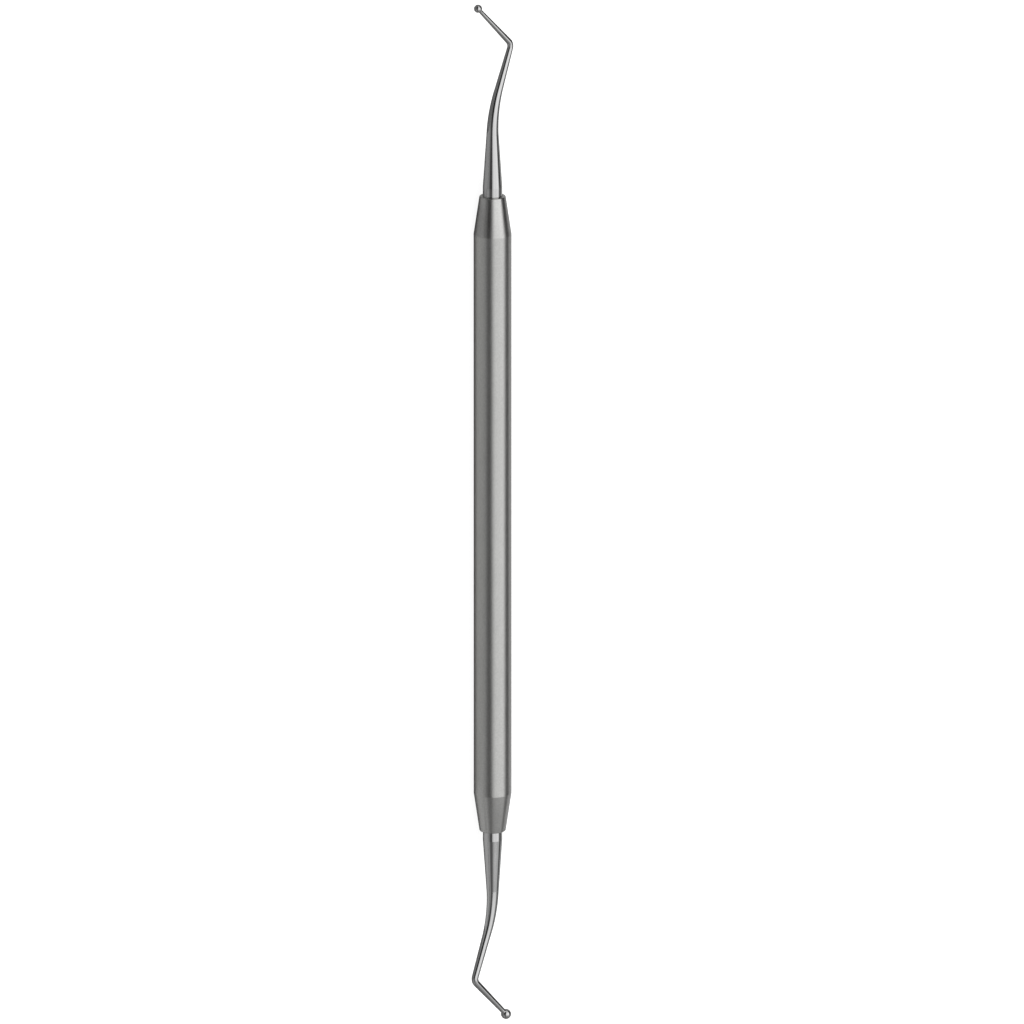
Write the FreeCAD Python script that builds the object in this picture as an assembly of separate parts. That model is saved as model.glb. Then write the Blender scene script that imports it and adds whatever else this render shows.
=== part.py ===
import FreeCAD, Part

import math
import os

# A double-ended ball plugger, a hand instrument that packs soft filling material
# into small hollows. A round handle is coned down at both ends, and a turned and
# bent working end is pressed into a socket in each end face. One working end
# carries a small ball and the other a larger one.
#
# Millimetres, +Z up. The instrument lies on its handle on a level surface. The
# handle's axis runs along Y, with the small ball towards +Y, and both working
# ends bend in the level plane through that axis: each one leans away from the
# axis, towards +X at the small end and -X at the large end, then turns back
# across it. The origin is on the surface, under the middle of the handle.

# Handle
HANDLE_DIAMETER = 6.0
HANDLE_LENGTH = 104.5
NOSE_LENGTH = 6.1
NOSE_DIAMETER = 4.15
NOSE_RIM_BEVEL = 0.15

# Sockets drilled into the handle's end faces
TANG_LENGTH = 11.0
SOCKET_CLEARANCE = 0.02
SOCKET_END_CLEARANCE = 0.3
SOCKET_MOUTH_BEVEL = 0.12
DRILL_POINT_ANGLE = 118.0

# What both working ends share, in order from the handle outwards
COLLAR_DIAMETER = 3.1
TANG_BEVEL = 0.3
COLLAR_LENGTH = 1.5
TAPER_LENGTH = 8.5
SWEEP_START_DIAMETER = 1.96
SWEEP_RADIUS = 22.6
SWEEP_ANGLE = 18.7
SWEEP_END_DIAMETER = 1.31
SWEEP_SPANS = 10
SHANK_LENGTH = 6.75
ELBOW_RADIUS = 1.2
ELBOW_ANGLE = 62.1
NECK_FILLET_RADIUS = 0.12

# The small end's tip
SMALL_ELBOW_DIAMETER = 0.97
SMALL_NECK_DIAMETER = 0.63
SMALL_NECK_LENGTH = 8.0
SMALL_BALL_DIAMETER = 1.3

# The large end's tip
LARGE_ELBOW_DIAMETER = 1.09
LARGE_NECK_DIAMETER = 0.81
LARGE_NECK_LENGTH = 7.57
LARGE_BALL_DIAMETER = 1.62

AXIS_HEIGHT = HANDLE_DIAMETER / 2
HALF_TURN = 180.0
FULL_TURN = 360.0


def radial(radius, along):
    """A point of a turned profile about the Z axis. It is drawn on the side that goes
    underneath when the handle is laid down, so the handle's seam line doesn't show."""
    return FreeCAD.Vector(0, radius, along)


def turned(edges):
    """The solid that a closed profile makes when it is revolved about the Z axis."""
    face = Part.Face(Part.Wire(Part.__sortEdges__(edges)))
    return face.revolve(FreeCAD.Vector(0, 0, 0), FreeCAD.Vector(0, 0, 1), FULL_TURN)


def polyline(points):
    """Straight edges through a list of profile points, in order."""
    return [Part.LineSegment(start, end).toShape() for start, end in zip(points, points[1:])]


def ring_at(solid, radius, along):
    """The circular edge of a turned solid that has this radius and height on its axis."""
    tolerance = 1e-4
    for edge in solid.Edges:
        if isinstance(edge.Curve, Part.Circle):
            same_radius = abs(edge.Curve.Radius - radius) < tolerance
            same_height = abs(edge.Curve.Center.z - along) < tolerance
            if same_radius and same_height:
                return edge
    raise ValueError(f"no ring of radius {radius} at {along}")


def direction(angle):
    """The unit vector in the level plane that leans from +Y towards +X by an angle in degrees."""
    lean = math.radians(angle)
    return FreeCAD.Vector(math.sin(lean), math.cos(lean), 0)


def laid(solid, start, angle):
    """A solid turned about Z, moved to a start point and laid down along a direction."""
    upright = FreeCAD.Vector(0, 0, 1)
    placed = solid.copy()
    placed.Placement = FreeCAD.Placement(start, FreeCAD.Rotation(upright, direction(angle)))
    return placed


def handle_blank():
    """The round rod with its two coned noses and their bevelled rims, middle at the origin."""
    half = HANDLE_LENGTH / 2
    shoulder = half - NOSE_LENGTH
    outline = [
        radial(0, -half),
        radial(NOSE_DIAMETER / 2, -half),
        radial(HANDLE_DIAMETER / 2, -shoulder),
        radial(HANDLE_DIAMETER / 2, shoulder),
        radial(NOSE_DIAMETER / 2, half),
        radial(0, half),
        radial(0, -half),
    ]
    rod = turned(polyline(outline))
    rims = [ring_at(rod, NOSE_DIAMETER / 2, along) for along in (-half, half)]
    return rod.makeChamfer(NOSE_RIM_BEVEL, rims)


def socket_cutter():
    """The drilled socket as a solid: its mouth's bevel is at the origin, its point is below."""
    radius = COLLAR_DIAMETER / 2 + SOCKET_CLEARANCE
    mouth = radius + SOCKET_MOUTH_BEVEL
    depth = TANG_LENGTH + SOCKET_END_CLEARANCE
    point_height = radius / math.tan(math.radians(DRILL_POINT_ANGLE / 2))
    outline = [
        radial(0, 0),
        radial(mouth, 0),
        radial(radius, -SOCKET_MOUTH_BEVEL),
        radial(radius, -depth),
        radial(0, -depth - point_height),
        radial(0, 0),
    ]
    return turned(polyline(outline))


def handle():
    """The handle, with a socket in each end face."""
    middle = FreeCAD.Vector(0, 0, AXIS_HEIGHT)
    body = laid(handle_blank(), middle, 0)
    for angle in (0, HALF_TURN):
        end_face = middle + direction(angle) * (HANDLE_LENGTH / 2)
        body = body.cut(laid(socket_cutter(), end_face, angle))
    return body


def root_stub():
    """The straight root of a working end: tang, collar and first taper, end face at height 0."""
    collar = COLLAR_DIAMETER / 2
    outline = [
        radial(0, -TANG_LENGTH),
        radial(collar - TANG_BEVEL, -TANG_LENGTH),
        radial(collar, -TANG_LENGTH + TANG_BEVEL),
        radial(collar, COLLAR_LENGTH),
        radial(SWEEP_START_DIAMETER / 2, COLLAR_LENGTH + TAPER_LENGTH),
        radial(0, COLLAR_LENGTH + TAPER_LENGTH),
        radial(0, -TANG_LENGTH),
    ]
    return turned(polyline(outline))


def ring(diameter, centre, angle):
    """A circle square to a direction in the level plane."""
    return Part.Wire(Part.makeCircle(diameter / 2, centre, direction(angle)))


def sweep_bar(start, angle):
    """The long gentle bend, which goes on tapering, and the point at its far end.

    It is a chain of short straight tapers between rings that stand square to the arc.
    """
    right_angle = 90
    centre = start + direction(angle + right_angle) * SWEEP_RADIUS
    rings = []
    for step in range(SWEEP_SPANS + 1):
        share = step / SWEEP_SPANS
        heading = angle + share * SWEEP_ANGLE
        point = centre - direction(heading + right_angle) * SWEEP_RADIUS
        diameter = SWEEP_START_DIAMETER + share * (SWEEP_END_DIAMETER - SWEEP_START_DIAMETER)
        rings.append(ring(diameter, point, heading))
    return Part.makeLoft(rings, True, True), point


def elbow_bar(start, angle, diameter):
    """The tight bend back the other way, of one thickness, and the point at its far end."""
    right_angle = 90
    centre = start + direction(angle - right_angle) * ELBOW_RADIUS
    disc = Part.Face(ring(diameter, start, angle))
    bar = disc.revolve(centre, FreeCAD.Vector(0, 0, 1), ELBOW_ANGLE)
    return bar, centre + direction(angle - ELBOW_ANGLE + right_angle) * ELBOW_RADIUS


def ball_tip(elbow_diameter, neck_diameter, neck_length, ball_diameter):
    """The tapered neck and its ball, turned as one, with a small fillet where they meet."""
    neck = neck_diameter / 2
    ball = ball_diameter / 2
    centre = neck_length + math.sqrt(ball ** 2 - neck ** 2)
    cone = polyline([
        radial(0, 0),
        radial(elbow_diameter / 2, 0),
        radial(neck, neck_length),
    ])
    round_end = Part.Arc(radial(neck, neck_length), radial(ball, centre), radial(0, centre + ball))
    closing = polyline([radial(0, centre + ball), radial(0, 0)])
    tip = turned(cone + [round_end.toShape()] + closing)
    return tip.makeFillet(NECK_FILLET_RADIUS, [ring_at(tip, neck, neck_length)])


def working_end(angle, elbow_diameter, neck_diameter, neck_length, ball_diameter):
    """A whole working end, pressed into the handle's end face that looks along an angle."""
    face = FreeCAD.Vector(0, 0, AXIS_HEIGHT) + direction(angle) * (HANDLE_LENGTH / 2)
    root = laid(root_stub(), face, angle)
    sweep_start = face + direction(angle) * (COLLAR_LENGTH + TAPER_LENGTH)
    sweep, shank_start = sweep_bar(sweep_start, angle)
    lean = angle + SWEEP_ANGLE
    shank = Part.makeCone(
        SWEEP_END_DIAMETER / 2, elbow_diameter / 2, SHANK_LENGTH, shank_start, direction(lean))
    elbow_start = shank_start + direction(lean) * SHANK_LENGTH
    elbow, tip_start = elbow_bar(elbow_start, lean, elbow_diameter)
    tip = ball_tip(elbow_diameter, neck_diameter, neck_length, ball_diameter)
    tip = laid(tip, tip_start, lean - ELBOW_ANGLE)
    return root.multiFuse([sweep, shank, elbow, tip]).removeSplitter()


def small_working_end():
    """The working end with the small ball, at +Y."""
    return working_end(
        0, SMALL_ELBOW_DIAMETER, SMALL_NECK_DIAMETER, SMALL_NECK_LENGTH, SMALL_BALL_DIAMETER)


def large_working_end():
    """The working end with the larger ball, at -Y."""
    return working_end(
        HALF_TURN, LARGE_ELBOW_DIAMETER, LARGE_NECK_DIAMETER, LARGE_NECK_LENGTH, LARGE_BALL_DIAMETER)


PIECES = {
    "handle": handle,
    "small_working_end": small_working_end,
    "large_working_end": large_working_end,
}

os.makedirs("parts", exist_ok=True)
for name, make in PIECES.items():
    piece = make()
    piece.exportStep(f"parts/{name}.step")
    box = piece.BoundBox
    print(f"{name}: {len(piece.Solids)} solid, {piece.Volume:.2f} mm3, {len(piece.Faces)} faces, "
          f"valid {piece.isValid()}, X {box.XMin:.2f} to {box.XMax:.2f}, "
          f"Y {box.YMin:.2f} to {box.YMax:.2f}, Z {box.ZMin:.2f} to {box.ZMax:.2f}")
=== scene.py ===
"""A double-ended ball plugger, lying on a pale studio floor.

The instrument has three pieces: a satin steel handle, coned at both ends, and two
polished steel working ends that are set in it. The handle's axis runs along Y with the
small ball towards +Y, and both working ends bend in the level plane through that axis.
"""

import logging
import math
from collections.abc import Iterable
from dataclasses import dataclass, field
from enum import Enum

import bmesh
import bpy
from mathutils import Matrix, Vector


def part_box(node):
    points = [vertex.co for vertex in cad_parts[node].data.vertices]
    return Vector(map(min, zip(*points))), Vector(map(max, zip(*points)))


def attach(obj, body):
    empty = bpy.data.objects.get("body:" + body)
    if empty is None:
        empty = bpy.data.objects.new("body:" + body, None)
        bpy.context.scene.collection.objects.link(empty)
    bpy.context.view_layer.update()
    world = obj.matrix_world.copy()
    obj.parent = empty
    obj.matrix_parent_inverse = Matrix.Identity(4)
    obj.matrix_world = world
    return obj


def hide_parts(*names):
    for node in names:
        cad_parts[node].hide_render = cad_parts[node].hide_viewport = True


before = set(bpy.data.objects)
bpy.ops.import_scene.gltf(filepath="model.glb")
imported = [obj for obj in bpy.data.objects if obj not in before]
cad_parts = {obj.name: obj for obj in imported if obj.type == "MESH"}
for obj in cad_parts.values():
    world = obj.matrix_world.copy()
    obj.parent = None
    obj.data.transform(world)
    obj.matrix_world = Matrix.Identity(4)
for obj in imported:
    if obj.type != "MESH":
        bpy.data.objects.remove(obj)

LOG = logging.getLogger("ball_plugger")
BODY = "root"
HANDLE_NODE = "handle"

MM = 0.001
HALF_TURN = 180.0
FULL_TURN = 360.0
WHITE = (1.0, 1.0, 1.0, 1.0)

# The sRGB curve: a straight foot up to its limit, then a power curve
HEX_TOP = 255
SRGB_FOOT_LIMIT = 0.04045
SRGB_FOOT_SLOPE = 12.92
SRGB_OFFSET = 0.055
SRGB_POWER = 2.4

# Steps round the axis, fine enough that no outline shows a corner
HANDLE_STEPS = 144
END_STEPS = 96
# Points closer than this are one point
WELD_DISTANCE = 0.0005 * MM
# Nearly all of a noise pattern's values lie between these two
NOISE_LOW = 0.3
NOISE_HIGH = 0.7


class Side(Enum):
    """Which end of the handle a working end is set in, as its heading in degrees from +Y."""

    SMALL = 0.0
    LARGE = 180.0


def linear(code: str) -> tuple[float, float, float, float]:
    """Turns an sRGB hex colour into the linear colour that a shader takes.

    Args:
        code: Six hex digits, with or without a leading #.

    Returns:
        Linear red, green and blue, and an alpha of 1.
    """
    digits = code.lstrip("#")
    channels = []
    for start in (0, 2, 4):
        share = int(digits[start:start + 2], 16) / HEX_TOP
        if share <= SRGB_FOOT_LIMIT:
            channels.append(share / SRGB_FOOT_SLOPE)
        else:
            channels.append(((share + SRGB_OFFSET) / (1 + SRGB_OFFSET)) ** SRGB_POWER)
    red, green, blue = channels
    return red, green, blue, 1.0


def add_node(
    tree: bpy.types.NodeTree,
    kind: str,
    inputs: dict[str | int, object] | None = None,
    **settings: object,
) -> bpy.types.Node:
    """Adds a node with its settings, values and links.

    Args:
        tree: The node tree that gets the node.
        kind: The node's type name.
        inputs: A value, or the socket to link from, for each input by name or number.
        **settings: The node's own properties.

    Returns:
        The new node.
    """
    node = tree.nodes.new(kind)
    for name, value in settings.items():
        setattr(node, name, value)
    for name, value in (inputs or {}).items():
        if isinstance(value, bpy.types.NodeSocket):
            tree.links.new(value, node.inputs[name])
        else:
            node.inputs[name].default_value = value
    return node


def empty_material(name: str) -> bpy.types.Material:
    """Makes a material with nodes switched on and none in it.

    Args:
        name: The material's name.

    Returns:
        The new material.
    """
    material = bpy.data.materials.new(name)
    material.use_nodes = True
    material.node_tree.nodes.clear()
    return material


def coat_matt(
    material: bpy.types.Material, colour: str, glow: float | bpy.types.NodeSocket
) -> None:
    """Gives an empty material a matt coat, which scatters light evenly and mirrors nothing.

    Args:
        material: The material.
        colour: The coat's sRGB hex colour.
        glow: The light that the coat gives by itself, or the socket that sets it.
    """
    tree = material.node_tree
    coat = add_node(tree, "ShaderNodeBsdfDiffuse", {"Color": linear(colour)})
    light = add_node(tree, "ShaderNodeEmission", {"Strength": glow})
    both = add_node(
        tree, "ShaderNodeAddShader", {0: coat.outputs["BSDF"], 1: light.outputs["Emission"]})
    add_node(tree, "ShaderNodeOutputMaterial", {"Surface": both.outputs["Shader"]})


@dataclass(frozen=True)
class Pattern:
    """A noise pattern in a surface: its grain in millimetres and how finely that breaks up."""

    grain_mm: float
    detail: float
    breakup: float = 0.5

    def inputs(self, place: bpy.types.NodeSocket) -> dict[str | int, object]:
        """The noise node's inputs, for a place in metres."""
        return {"Vector": place, "Scale": 1 / (self.grain_mm * MM), "Detail": self.detail,
                "Roughness": self.breakup}


@dataclass(frozen=True)
class SatinSteel:
    """Stainless steel with a bead-blasted satin finish, as on the handle.

    Fine glass beads leave shallow rounded dimples all over. The eye sees an even, softly
    blurred reflection with a faint mottle and no direction to it.
    """

    name: str = "satin_stainless_steel_bead_blasted"
    colour: str = "#C4C4C2"
    roughness: float = 0.29
    roughness_change: float = 0.015
    # The dimples are about 0.03 mm across. They are drawn at 0.17 mm, the finest that shows
    dimples: Pattern = Pattern(grain_mm=0.17, detail=1.5, breakup=0.55)
    dimple_depth_mm: float = 0.0020
    # Groups of dimples send back a little more or less light, as a share of the colour
    mottle: Pattern = Pattern(grain_mm=0.28, detail=1.0)
    mottle_share: float = 0.06
    # Broad, faint unevenness from the way the blast nozzle passes over the rod
    cloud: Pattern = Pattern(grain_mm=2.6, detail=2.0)

    def make(self) -> bpy.types.Material:
        """Builds the material's nodes.

        Returns:
            The finished material.
        """
        material = empty_material(self.name)
        tree = material.node_tree
        place = add_node(tree, "ShaderNodeTexCoord").outputs["Object"]
        dimples = add_node(tree, "ShaderNodeTexNoise", self.dimples.inputs(place))
        cloud = add_node(tree, "ShaderNodeTexNoise", self.cloud.inputs(place))
        roughness = add_node(
            tree, "ShaderNodeMapRange",
            {"Value": cloud.outputs["Fac"], "From Min": NOISE_LOW, "From Max": NOISE_HIGH,
             "To Min": self.roughness - self.roughness_change,
             "To Max": self.roughness + self.roughness_change})
        dimpled = add_node(
            tree, "ShaderNodeBump",
            {"Height": dimples.outputs["Fac"], "Strength": 1.0,
             "Distance": self.dimple_depth_mm * MM})
        mottle = add_node(tree, "ShaderNodeTexNoise", self.mottle.inputs(place))
        share = add_node(
            tree, "ShaderNodeMapRange",
            {"Value": mottle.outputs["Fac"], "From Min": NOISE_LOW, "From Max": NOISE_HIGH,
             "To Min": 1 - self.mottle_share, "To Max": 1 + self.mottle_share})
        tone = add_node(
            tree, "ShaderNodeVectorMath",
            {"Vector": linear(self.colour)[:3], "Scale": share.outputs["Result"]},
            operation="SCALE")
        shader = add_node(
            tree, "ShaderNodeBsdfPrincipled",
            {"Base Color": tone.outputs["Vector"], "Metallic": 1.0,
             "Roughness": roughness.outputs["Result"], "Normal": dimpled.outputs["Normal"]})
        add_node(tree, "ShaderNodeOutputMaterial", {"Surface": shader.outputs["BSDF"]})
        return material


@dataclass(frozen=True)
class PolishedSteel:
    """Stainless steel turned and polished bright, as on the working ends.

    The polishing wheel runs along the bar and leaves hairlines too fine to see one by one.
    The eye sees a near mirror, with sharp dark lines and a slightly wavy edge to them.
    """

    name: str = "bright_stainless_steel_turned_and_polished"
    colour: str = "#CBCBCB"
    roughness: float = 0.11
    roughness_change: float = 0.02
    # Turning marks run round the bar. Their pitch is 0.05 mm, drawn at 0.12 mm so that they
    # show, and each one runs on for the reach
    marks: Pattern = Pattern(grain_mm=0.12, detail=1.0)
    mark_reach_mm: float = 4.0
    mark_depth_mm: float = 0.0002
    # Slow waves that hand polishing leaves in the surface
    waves: Pattern = Pattern(grain_mm=1.4, detail=1.0, breakup=0.4)
    wave_depth_mm: float = 0.004

    def make(self) -> bpy.types.Material:
        """Builds the material's nodes.

        Returns:
            The finished material.
        """
        material = empty_material(self.name)
        tree = material.node_tree
        place = add_node(tree, "ShaderNodeTexCoord").outputs["Object"]
        across = self.marks.grain_mm / self.mark_reach_mm
        stretched = add_node(
            tree, "ShaderNodeMapping", {"Vector": place, "Scale": (across, 1.0, across)})
        marks = add_node(
            tree, "ShaderNodeTexNoise", self.marks.inputs(stretched.outputs["Vector"]))
        waves = add_node(tree, "ShaderNodeTexNoise", self.waves.inputs(place))
        roughness = add_node(
            tree, "ShaderNodeMapRange",
            {"Value": waves.outputs["Fac"], "From Min": NOISE_LOW, "From Max": NOISE_HIGH,
             "To Min": self.roughness - self.roughness_change,
             "To Max": self.roughness + self.roughness_change})
        wavy = add_node(
            tree, "ShaderNodeBump",
            {"Height": waves.outputs["Fac"], "Strength": 1.0, "Distance": self.wave_depth_mm * MM})
        marked = add_node(
            tree, "ShaderNodeBump",
            {"Height": marks.outputs["Fac"], "Strength": 1.0, "Distance": self.mark_depth_mm * MM,
             "Normal": wavy.outputs["Normal"]})
        shader = add_node(
            tree, "ShaderNodeBsdfPrincipled",
            {"Base Color": linear(self.colour), "Metallic": 1.0,
             "Roughness": roughness.outputs["Result"], "Normal": marked.outputs["Normal"]})
        add_node(tree, "ShaderNodeOutputMaterial", {"Surface": shader.outputs["BSDF"]})
        return material


def add_object(name: str, data: bpy.types.ID) -> bpy.types.Object:
    """Adds an object to the scene.

    Args:
        name: The object's name.
        data: Its mesh, light or camera.

    Returns:
        The new object, at the origin and unturned.
    """
    added = bpy.data.objects.new(name, data)
    bpy.context.scene.collection.objects.link(added)
    return added


def add_mesh(
    mesh: bmesh.types.BMesh, name: str, material: bpy.types.Material
) -> bpy.types.Object:
    """Adds a mesh with one finish to the scene.

    Args:
        mesh: The finished shape in metres. It is freed.
        name: The new object's name.
        material: Its finish.

    Returns:
        The new object, at the origin and unturned.
    """
    data = bpy.data.meshes.new(name)
    mesh.to_mesh(data)
    mesh.free()
    data.materials.append(material)
    return add_object(name, data)


def finished_piece(
    mesh: bmesh.types.BMesh, name: str, material: bpy.types.Material, node: str
) -> bpy.types.Object:
    """Closes a mesh, turns it into a piece of the object and lets it stand for its solid.

    Args:
        mesh: The finished shape in metres, in the object's own frame. It is freed.
        name: The new piece's name.
        material: Its finish.
        node: The solid that the piece stands for.

    Returns:
        The new object, at the origin and unturned.
    """
    bmesh.ops.remove_doubles(mesh, verts=mesh.verts, dist=WELD_DISTANCE)
    bmesh.ops.recalc_face_normals(mesh, faces=mesh.faces)
    for face in mesh.faces:
        face.smooth = True
    piece = add_mesh(mesh, name, material)
    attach(piece, BODY)
    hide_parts(node)
    return piece


def flat_sheet(
    name: str,
    material: bpy.types.Material,
    across: tuple[float, float],
    along: tuple[float, float],
    height: float,
) -> bpy.types.Object:
    """Adds a level rectangle to the scene.

    Args:
        name: The sheet's name.
        material: Its finish.
        across: Its edges towards -X and +X, in metres.
        along: Its edges towards -Y and +Y.
        height: Its height above the surface that the instrument lies on.

    Returns:
        The new object, at the origin and unturned.
    """
    mesh = bmesh.new()
    # A square with sides of 1, which is then stretched and moved to the sheet's edges
    half_side = 0.5
    bmesh.ops.create_grid(mesh, x_segments=1, y_segments=1, size=half_side)
    place = Matrix.Translation((sum(across) / 2, sum(along) / 2, height))
    size = Matrix.Diagonal((across[1] - across[0], along[1] - along[0], 1, 1))
    bmesh.ops.transform(mesh, matrix=place @ size, verts=mesh.verts)
    return add_mesh(mesh, name, material)


def handle_solid() -> tuple[Vector, float, float]:
    """Reads the place and the overall size of the handle's solid.

    Returns:
        Its middle, its diameter and its length, in metres.
    """
    low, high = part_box(HANDLE_NODE)
    return (low + high) / 2, high.z - low.z, high.y - low.y


@dataclass
class Handle:
    """The round handle with its two coned noses and the drilled sockets. Sizes in millimetres."""

    finish: bpy.types.Material
    nose_length: float = 6.25
    nose_diameter: float = 4.15
    rim_radius: float = 0.15
    rim_segments: int = 4
    socket_diameter: float = 3.14
    socket_mouth_bevel: float = 0.03
    socket_depth: float = 11.3
    drill_point_angle: float = 118.0
    diameter: float = field(init=False)
    length: float = field(init=False)
    axis_height: float = field(init=False)

    def __post_init__(self) -> None:
        """Takes the overall sizes and the axis from the solid."""
        middle, diameter, length = handle_solid()
        self.diameter = diameter / MM
        self.length = length / MM
        self.axis_height = middle.z / MM

    def half_profile(self) -> list[tuple[float, float]]:
        """The profile of the +Y half from the drill point to the shoulder.

        Returns:
            Pairs of radius and distance along the axis from the handle's middle.
        """
        end = self.length / 2
        socket = self.socket_diameter / 2
        bottom = end - self.socket_depth
        point = bottom - socket / math.tan(math.radians(self.drill_point_angle / 2))
        return [
            (0.0, point),
            (socket, bottom),
            (socket, end - self.socket_mouth_bevel),
            (socket + self.socket_mouth_bevel, end),
            (self.nose_diameter / 2, end),
            (self.diameter / 2, end - self.nose_length),
        ]

    def build(self) -> bpy.types.Object:
        """Spins the profile round the axis and rounds the rims of the noses.

        Returns:
            The finished handle.
        """
        half = self.half_profile()
        profile = half + [(radius, -along) for radius, along in reversed(half)]
        mesh = bmesh.new()
        points = [mesh.verts.new((0, y * MM, (self.axis_height - r) * MM)) for r, y in profile]
        lines = [mesh.edges.new(pair) for pair in zip(points, points[1:])]
        bmesh.ops.spin(
            mesh, geom=points + lines, cent=(0, 0, self.axis_height * MM), axis=(0, 1, 0),
            angle=2 * math.pi, steps=HANDLE_STEPS, use_merge=True)
        bmesh.ops.remove_doubles(mesh, verts=mesh.verts, dist=WELD_DISTANCE)
        self.mark_crisp(mesh)
        bmesh.ops.bevel(
            mesh, geom=self.ring(mesh, self.nose_diameter / 2), offset=self.rim_radius * MM,
            offset_type="OFFSET", affect="EDGES", segments=self.rim_segments, profile=0.5,
            material=-1)
        return finished_piece(mesh, "satin_handle", self.finish, HANDLE_NODE)

    def ring(self, mesh: bmesh.types.BMesh, radius: float) -> list[bmesh.types.BMEdge]:
        """Finds the edges that run round the axis at a radius, at both ends of the handle.

        Args:
            mesh: The handle's mesh.
            radius: The radius in millimetres.

        Returns:
            The edges of both rings.
        """
        def fits(point: bmesh.types.BMVert) -> bool:
            """Whether a point lies at the radius."""
            reach = math.hypot(point.co.x, point.co.z - self.axis_height * MM)
            return abs(reach - radius * MM) < WELD_DISTANCE
        return [
            edge for edge in mesh.edges
            if all(fits(point) for point in edge.verts)
            and abs(edge.verts[0].co.y - edge.verts[1].co.y) < WELD_DISTANCE]

    def mark_crisp(self, mesh: bmesh.types.BMesh) -> None:
        """Keeps the turned shoulders and the socket mouths as sharp lines in the shading.

        Args:
            mesh: The handle's mesh.
        """
        socket = self.socket_diameter / 2
        for radius in (self.diameter / 2, socket, socket + self.socket_mouth_bevel):
            for edge in self.ring(mesh, radius):
                edge.smooth = False


class Bar:
    """A round bar in the level plane, drawn out ring by ring from its first disc."""

    def __init__(self, point: Vector, heading: float, diameter: float) -> None:
        """Starts the bar with a flat disc.

        Args:
            point: The disc's centre, in millimetres.
            heading: The bar's direction, in degrees from +Y towards +X.
            diameter: The disc's diameter, in millimetres.
        """
        self.mesh = bmesh.new()
        self.point = point
        self.heading = heading
        self.radius = diameter / 2
        made = bmesh.ops.create_circle(self.mesh, cap_ends=True, radius=1.0, segments=END_STEPS)
        self.place = self.placed()
        bmesh.ops.transform(self.mesh, matrix=self.place, verts=made["verts"])
        self.rim = list(self.mesh.edges)

    def direction(self) -> Vector:
        """The unit vector that the bar points along."""
        lean = math.radians(self.heading)
        return Vector((math.sin(lean), math.cos(lean), 0))

    def placed(self) -> Matrix:
        """Works out where the bar's present end is.

        Returns:
            The matrix that takes a level ring of radius 1 at the origin to that end, in metres.
        """
        lean = math.radians(self.heading)
        side = Vector((math.cos(lean), -math.sin(lean), 0))
        down = Vector((0, 0, -1))
        turned = Matrix((side, down, self.direction())).transposed().to_4x4()
        size = self.radius * MM
        return Matrix.Translation(self.point * MM) @ turned @ Matrix.Diagonal((size, size, MM, 1))

    def ring(self, crisp: bool = False) -> None:
        """Draws the bar out to a new ring at its present end.

        Args:
            crisp: Whether the new ring is a sharp line in the shading.
        """
        made = bmesh.ops.extrude_edge_only(self.mesh, edges=self.rim)["geom"]
        points = {item for item in made if isinstance(item, bmesh.types.BMVert)}
        place = self.placed()
        bmesh.ops.transform(self.mesh, matrix=place @ self.place.inverted(), verts=list(points))
        self.place = place
        self.rim = [
            item for item in made
            if isinstance(item, bmesh.types.BMEdge) and points.issuperset(item.verts)]
        for edge in self.rim:
            edge.smooth = not crisp

    def straight(self, length: float, diameter: float, spans: int = 1, crisp: bool = False) -> None:
        """Adds a straight cone.

        Args:
            length: Its length in millimetres.
            diameter: The diameter at its far end.
            spans: The number of rings.
            crisp: Whether its far end is a sharp line.
        """
        change = (diameter / 2 - self.radius) / spans
        for step in range(spans):
            self.point = self.point + self.direction() * (length / spans)
            self.radius += change
            self.ring(crisp and step == spans - 1)

    def bend(self, radius: float, turn: float, diameter: float, spans: int) -> None:
        """Adds a bend.

        Args:
            radius: The radius of its centreline in millimetres.
            turn: The change of heading in degrees, positive towards +X from +Y.
            diameter: The diameter at its far end.
            spans: The number of rings.
        """
        change = (diameter / 2 - self.radius) / spans
        half_step = turn / spans / 2
        chord = 2 * radius * math.sin(math.radians(abs(half_step)))
        for _ in range(spans):
            self.heading += half_step
            self.point = self.point + self.direction() * chord
            self.heading += half_step
            self.radius += change
            self.ring()

    def profile(self, stations: Iterable[tuple[float, float]]) -> None:
        """Adds rings at given places along the present heading.

        Args:
            stations: Pairs of distance along, from where the bar ends now, and radius.
        """
        start = self.point
        for along, radius in stations:
            self.point = start + self.direction() * along
            self.radius = radius
            self.ring()


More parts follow.
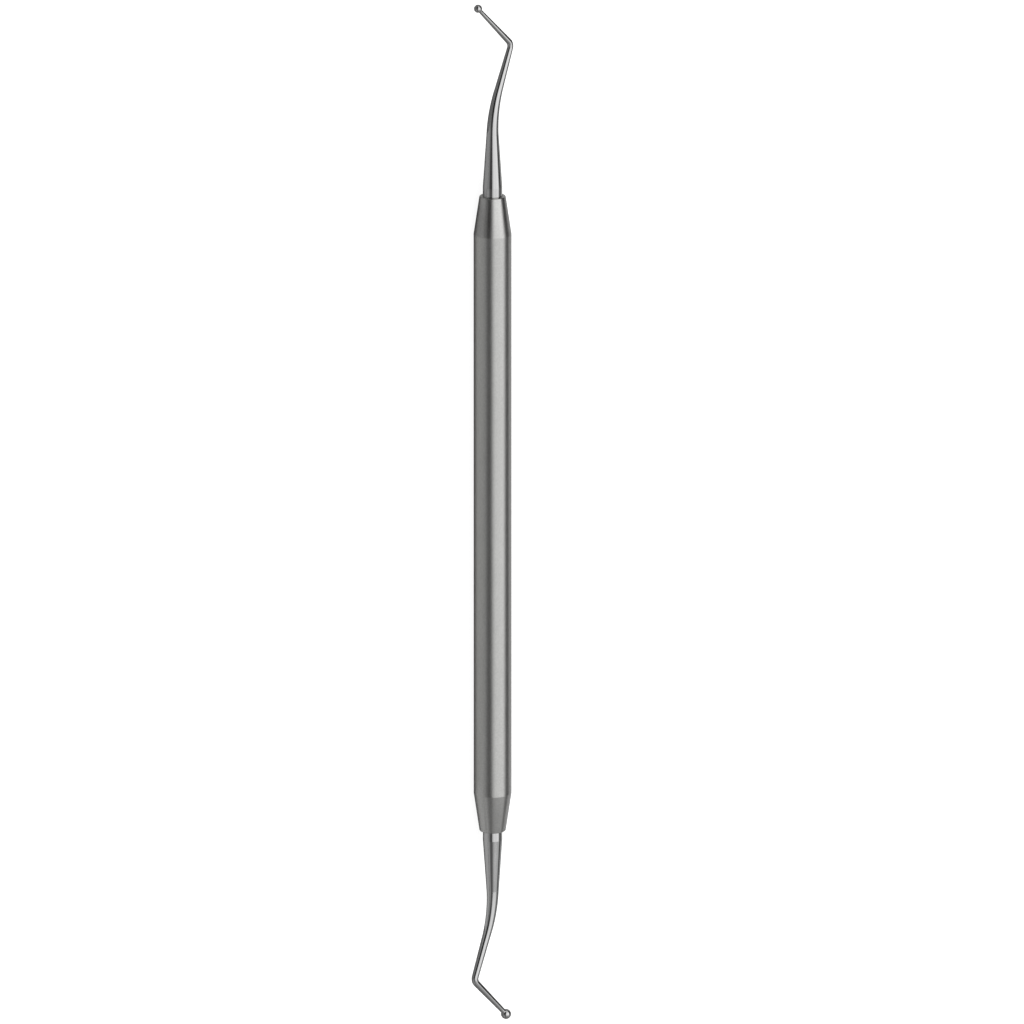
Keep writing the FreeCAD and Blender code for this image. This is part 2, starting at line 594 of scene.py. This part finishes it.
@dataclass
class WorkingEnd:
    """A working end: tang, collar, taper, sweep, shank, elbow, neck and ball. In millimetres.

    The fields with no value of their own differ between the small and the large end.
    """

    side: Side
    finish: bpy.types.Material
    name: str
    node: str
    elbow_diameter: float
    neck_diameter: float
    neck_length: float
    ball_diameter: float
    tang_length: float = 11.0
    tang_bevel: float = 0.3
    collar_diameter: float = 3.1
    collar_length: float = 1.5
    taper_length: float = 8.5
    sweep_start_diameter: float = 1.96
    sweep_radius: float = 22.6
    sweep_angle: float = 18.7
    sweep_end_diameter: float = 1.31
    shank_length: float = 6.75
    elbow_radius: float = 1.2
    elbow_angle: float = 62.1
    fillet_radius: float = 0.12
    # The ball's last ring, so small that it welds to one point
    tip_radius: float = 0.00005
    taper_spans: int = 14
    sweep_spans: int = 40
    shank_spans: int = 12
    elbow_spans: int = 28
    neck_spans: int = 10
    fillet_spans: int = 6
    ball_spans: int = 30

    def neck_and_ball(self) -> list[tuple[float, float]]:
        """Works out the neck's taper, the fillet and the ball.

        Returns:
            Pairs of distance along, from the end of the elbow, and radius.
        """
        neck = self.neck_diameter / 2
        ball = self.ball_diameter / 2
        fillet = self.fillet_radius
        centre = self.neck_length + math.sqrt(ball ** 2 - neck ** 2)
        # The fillet's arc is centred beside the neck and touches both the neck and the ball
        reach = math.sqrt((ball + fillet) ** 2 - (neck + fillet) ** 2)
        foot = centre - reach
        opening = math.atan2(reach, neck + fillet)
        start = self.elbow_diameter / 2
        stations = []
        for step in range(1, self.neck_spans + 1):
            share = step / self.neck_spans
            stations.append((foot * share, start + (neck - start) * share))
        for step in range(1, self.fillet_spans + 1):
            turn = opening * step / self.fillet_spans
            stations.append(
                (foot + fillet * math.sin(turn), neck + fillet - fillet * math.cos(turn)))
        first = math.pi / 2 - opening
        for step in range(1, self.ball_spans + 1):
            turn = first + (math.pi - first) * step / self.ball_spans
            radius = max(ball * math.sin(turn), self.tip_radius)
            stations.append((centre - ball * math.cos(turn), radius))
        return stations

    def build(self) -> bpy.types.Object:
        """Draws the bar out from the bottom of the tang to the tip of the ball.

        Returns:
            The finished working end.
        """
        middle, _, handle_length = handle_solid()
        heading = self.side.value
        forward = Vector((0, math.cos(math.radians(heading)), 0))
        bottom = (middle + forward * handle_length / 2) / MM - forward * self.tang_length
        bar = Bar(bottom, heading, self.collar_diameter - 2 * self.tang_bevel)
        bar.straight(self.tang_bevel, self.collar_diameter, crisp=True)
        collar = self.tang_length - self.tang_bevel + self.collar_length
        bar.straight(collar, self.collar_diameter, crisp=True)
        bar.straight(self.taper_length, self.sweep_start_diameter, self.taper_spans, crisp=True)
        bar.bend(self.sweep_radius, self.sweep_angle, self.sweep_end_diameter, self.sweep_spans)
        bar.straight(self.shank_length, self.elbow_diameter, self.shank_spans)
        bar.bend(self.elbow_radius, -self.elbow_angle, self.elbow_diameter, self.elbow_spans)
        bar.profile(self.neck_and_ball())
        return finished_piece(bar.mesh, self.name, self.finish, self.node)


@dataclass
class Floor:
    """The pale floor that the instrument lies on. Sizes in metres.

    The floor is a light grey board. The picture's white ground comes from the light that it
    gives to the camera's rays, and the object's shadow still falls on it. The metal is given
    only a trace of that light, so it mirrors a grey floor.
    """

    width: float = 6.0
    colour: str = "#A6A6A5"
    camera_share: float = 0.92
    mirror_share: float = 0.02

    def build(self) -> None:
        """Lays the floor as one flat square at the height of the origin."""
        edges = (-self.width / 2, self.width / 2)
        floor = flat_sheet("floor", self.material(), edges, edges, 0.0)

    def material(self) -> bpy.types.Material:
        """Makes a matt painted board, lifted to white for the camera's own rays.

        Returns:
            The finished material.
        """
        material = empty_material("matt_painted_board")
        tree = material.node_tree
        path = add_node(tree, "ShaderNodeLightPath")
        mirrored = add_node(
            tree, "ShaderNodeMath",
            {0: path.outputs["Is Glossy Ray"], 1: path.outputs["Is Transmission Ray"]},
            operation="MAXIMUM")
        camera = add_node(
            tree, "ShaderNodeMath", {0: path.outputs["Is Camera Ray"], 1: self.camera_share},
            operation="MULTIPLY")
        glow = add_node(
            tree, "ShaderNodeMath",
            {0: mirrored.outputs["Value"], 1: self.mirror_share, 2: camera.outputs["Value"]},
            operation="MULTIPLY_ADD")
        coat_matt(material, self.colour, glow.outputs["Value"])
        return material


@dataclass(frozen=True)
class Card:
    """A grey sheet just above the floor that only the steel sees, a painted reflection. Sizes in
    metres.

    The steel mirrors it, and the camera, the floor's bounce light and the shadows pass through it.
    Across runs from -X to +X and along from -Y to +Y. The glow makes the sheet shine by itself,
    which paints a highlight into the steel.
    """

    name: str
    colour: str
    across: tuple[float, float]
    along: tuple[float, float]
    glow: float = 0.0
    lift: float = 0.0001

    def build(self) -> None:
        """Lays the card so that it shows only as a reflection."""
        # The sheet's colour and glow are painted reflections, seen only in the steel
        paper = empty_material(self.name + "_paper")
        coat_matt(paper, self.colour, self.glow)
        card = flat_sheet(self.name, paper, self.across, self.along, self.lift)
        card.visible_camera = False
        card.visible_diffuse = False
        card.visible_shadow = False


@dataclass
class Studio:
    """The soft studio light: a large soft lamp overhead, in a grey room, with grey sheets that
    paint darker and lighter reflections into the steel.

    Angles are in degrees about the handle's axis, from straight up towards +X. The room is
    seen in the metal, and its bands of grey draw the lines along the handle. It is bright
    overhead and dark lower down on both sides. At the horizon it is light again towards the
    large ball.
    """

    # The soft lamp's two long edges, its distance in metres, where it begins and ends along
    # the handle as shares of that distance, and its radiance
    lamp_from: float = -40.0
    lamp_to: float = 40.0
    lamp_distance: float = 1.1
    lamp_low: float = -0.485
    lamp_high: float = 0.60
    lamp_radiance: float = 0.41
    # The side lamp lights the floor from a little to the right, and the metal doesn't mirror
    # it. Its light is a share of what makes a white floor white
    side_angle: float = 20.0
    side_distance: float = 1.0
    side_size: float = 0.25
    side_light: float = 0.45
    # The room's brightness: the angle round the handle's axis, the level towards the small
    # ball and the level towards the large ball
    room: tuple[tuple[float, float, float], ...] = (
        (-90.0, 0.00, 0.65),
        (-79.0, 0.27, 0.46),
        (-71.0, 0.05, 0.31),
        (-64.0, 0.00, 0.21),
        (-57.0, 0.00, 0.19),
        (-50.0, 0.00, 0.18),
        (-43.0, 0.00, 0.12),
        (-35.0, 0.08, 0.33),
        (-20.0, 0.89, 0.37),
        (0.0, 0.82, 0.38),
        (20.0, 0.97, 0.38),
        (33.0, 1.13, 0.38),
        (41.0, 0.72, 0.50),
        (49.0, 0.01, 0.51),
        (57.0, 0.00, 0.21),
        (65.0, 0.00, 0.05),
        (77.0, 0.00, 0.30),
        (90.0, 0.10, 0.98),
    )
    # How far along the handle's axis a unit direction points at those two levels
    small_end_reach: float = 0.10
    large_end_reach: float = -0.60
    # Between these two reaches towards the large end the room fades to this share
    fade_from: float = -0.78
    fade_to: float = -0.98
    fade_share: float = 0.5
    # The end, taper and nose cards are painted reflections: they set how dark a floor the steel
    # mirrors at each place. The face card glows and paints a highlight on the small nose's end face
    cards: tuple[Card, ...] = (
        Card("small_end_card", "#7B7B7B", across=(-0.100, 0.100), along=(0.062, 0.160)),
        Card("small_taper_card", "#A1A1A1", across=(-0.100, -0.001), along=(0.0514, 0.062)),
        Card("small_nose_card", "#959595", across=(-0.100, -0.001), along=(0.0456, 0.0514)),
        # This sheet glows: a painted highlight on the small nose's end face
        Card("nose_face_highlight_card", "#A6A6A5", across=(-0.0015, 0.0015), along=(0.0522, 0.057),
             glow=0.25),
        Card("large_nose_card", "#B4B4B4", across=(-0.100, 0.100), along=(-0.068, -0.046)),
        Card("large_end_card", "#7B7B7B", across=(-0.100, 0.100), along=(-0.160, -0.068)),
    )

    def build(self) -> None:
        """Sets up the lamps, the room and the cards."""
        self.add_soft_lamp()
        self.add_side_lamp()
        self.add_room()
        for card in self.cards:
            card.build()

    def add_soft_lamp(self) -> None:
        """Hangs the soft lamp so that it fills its angles as seen from the handle."""
        middle = math.radians((self.lamp_from + self.lamp_to) / 2)
        half = math.radians((self.lamp_to - self.lamp_from) / 2)
        width = 2 * self.lamp_distance * math.tan(half)
        length = (self.lamp_high - self.lamp_low) * self.lamp_distance
        power = self.lamp_radiance * width * length * math.pi
        lamp = self.hang_lamp("soft_lamp", width, length, power, middle, self.lamp_distance)
        lamp.location.y = (self.lamp_low + self.lamp_high) / 2 * self.lamp_distance

    def add_side_lamp(self) -> None:
        """Hangs the side lamp, with the power that gives a level floor its light."""
        angle = math.radians(self.side_angle)
        power = self.side_light * (math.pi * self.side_distance) ** 2 / math.cos(angle)
        lamp = self.hang_lamp(
            "side_lamp", self.side_size, self.side_size, power, angle, self.side_distance)
        lamp.visible_glossy = False

    def hang_lamp(
        self, name: str, width: float, length: float, power: float, angle: float, distance: float
    ) -> bpy.types.Object:
        """Hangs a flat lamp that faces the handle's middle.

        Args:
            name: The lamp's name.
            width: Its size across the handle, in metres.
            length: Its size along the handle.
            power: Its power in watts.
            angle: Where it hangs, in radians from straight up towards +X.
            distance: How far away it hangs.

        Returns:
            The lamp, which the camera doesn't see.
        """
        data = bpy.data.lights.new(name, "AREA")
        data.shape = "RECTANGLE"
        data.size = width
        data.size_y = length
        data.energy = power
        lamp = add_object(name, data)
        lamp.location = Vector((math.sin(angle), 0, math.cos(angle))) * distance
        lamp.rotation_euler = (0, angle, 0)
        lamp.visible_camera = False
        return lamp

    def add_room(self) -> None:
        """Paints the grey room by direction, with white behind everything for the camera."""
        world = bpy.data.worlds.new("grey_studio_room")
        bpy.context.scene.world = world
        world.use_nodes = True
        tree = world.node_tree
        tree.nodes.clear()
        direction = add_node(tree, "ShaderNodeTexCoord").outputs["Generated"]
        parts = add_node(tree, "ShaderNodeSeparateXYZ", {"Vector": direction})
        angle = add_node(
            tree, "ShaderNodeMath", {0: parts.outputs["X"], 1: parts.outputs["Z"]},
            operation="ARCTAN2")
        place = add_node(
            tree, "ShaderNodeMapRange",
            {"Value": angle.outputs["Value"], "From Min": -math.pi, "From Max": math.pi})
        ramp = add_node(tree, "ShaderNodeValToRGB", {"Fac": place.outputs["Result"]})
        self.set_levels(ramp.color_ramp.elements)
        levels = add_node(tree, "ShaderNodeSeparateColor", {"Color": ramp.outputs["Color"]})
        level = add_node(
            tree, "ShaderNodeMapRange",
            {"Value": parts.outputs["Y"], "From Min": self.large_end_reach,
             "From Max": self.small_end_reach, "To Min": levels.outputs["Green"],
             "To Max": levels.outputs["Red"]})
        fade = add_node(
            tree, "ShaderNodeMapRange",
            {"Value": parts.outputs["Y"], "From Min": self.fade_to, "From Max": self.fade_from,
             "To Min": self.fade_share, "To Max": 1.0})
        faded = add_node(
            tree, "ShaderNodeMath", {0: level.outputs["Result"], 1: fade.outputs["Result"]},
            operation="MULTIPLY")
        room = add_node(
            tree, "ShaderNodeBackground", {"Color": WHITE, "Strength": faded.outputs["Value"]})
        seen = add_node(tree, "ShaderNodeLightPath").outputs["Is Camera Ray"]
        white = add_node(tree, "ShaderNodeBackground", {"Color": WHITE})
        both = add_node(
            tree, "ShaderNodeMixShader",
            {0: seen, 1: room.outputs["Background"], 2: white.outputs["Background"]})
        add_node(tree, "ShaderNodeOutputWorld", {"Surface": both.outputs["Shader"]})

    def set_levels(self, stops: bpy.types.ColorRampElements) -> None:
        """Writes the room's levels into a colour ramp that runs once round the handle's axis.

        Args:
            stops: The ramp's stops. Red holds the small end's level and green the large end's.
        """
        ramp_middle = 0.5
        while len(stops) < len(self.room):
            stops.new(ramp_middle)
        for stop, (angle, small_end, large_end) in zip(stops, self.room):
            stop.position = (angle + HALF_TURN) / FULL_TURN
            stop.color = (small_end, large_end, 0, 1)


@dataclass
class Camera:
    """A very long lens over the instrument, leaning towards its small end.

    In the photo the instrument is rolled on its own axis. Here it lies level, and the camera
    goes round it by that roll instead. The framing is in pixels of a picture 1024 wide.
    """

    lens_mm: float = 1600.0
    sensor_mm: float = 36.0
    lean: float = 16.0
    roll: float = 35.0
    picture_px: float = 1024.0
    handle_width_px: float = 37.9
    axis_column_px: float = 492.6
    middle_row_px: float = 513.6

    def build(self) -> None:
        """Aims the camera so that the handle's middle falls on its place in the picture."""
        middle, handle_diameter, _ = handle_solid()
        pixel = handle_diameter / self.handle_width_px
        axes = (Matrix.Rotation(math.radians(-self.roll), 3, "Y")
                @ Matrix.Rotation(math.radians(-self.lean), 3, "X"))
        right, up, back = axes.transposed()
        centre_px = self.picture_px / 2
        aim = middle + right * (centre_px - self.axis_column_px) * pixel
        aim = aim + up * (self.middle_row_px - centre_px) * pixel
        distance = self.picture_px * pixel * self.lens_mm / self.sensor_mm
        data = bpy.data.cameras.new("camera")
        data.lens = self.lens_mm
        data.sensor_width = self.sensor_mm
        data.clip_end = 2 * distance
        camera = add_object("camera", data)
        camera.matrix_world = Matrix.Translation(aim + back * distance) @ axes.to_4x4()
        bpy.context.scene.camera = camera


def main() -> None:
    """Builds the instrument and the studio, and logs each piece's face count."""
    logging.basicConfig(level=logging.INFO, format="%(name)s: %(message)s")
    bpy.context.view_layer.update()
    bpy.context.scene.view_settings.view_transform = "Standard"

    satin = SatinSteel().make()
    polished = PolishedSteel().make()
    sub_parts = (
        Handle(finish=satin),
        WorkingEnd(
            side=Side.SMALL, finish=polished, name="small_ball_end", node="small_working_end",
            elbow_diameter=0.97, neck_diameter=0.63, neck_length=8.0, ball_diameter=1.3),
        WorkingEnd(
            side=Side.LARGE, finish=polished, name="large_ball_end", node="large_working_end",
            elbow_diameter=1.09, neck_diameter=0.81, neck_length=7.57, ball_diameter=1.62),
    )
    for sub_part in sub_parts:
        piece = sub_part.build()
        LOG.info("%s has %d faces", piece.name, len(piece.data.polygons))
    Floor().build()
    Studio().build()
    Camera().build()
    LOG.info("floor, studio and camera are set")


if __name__ == "__main__":
    main()
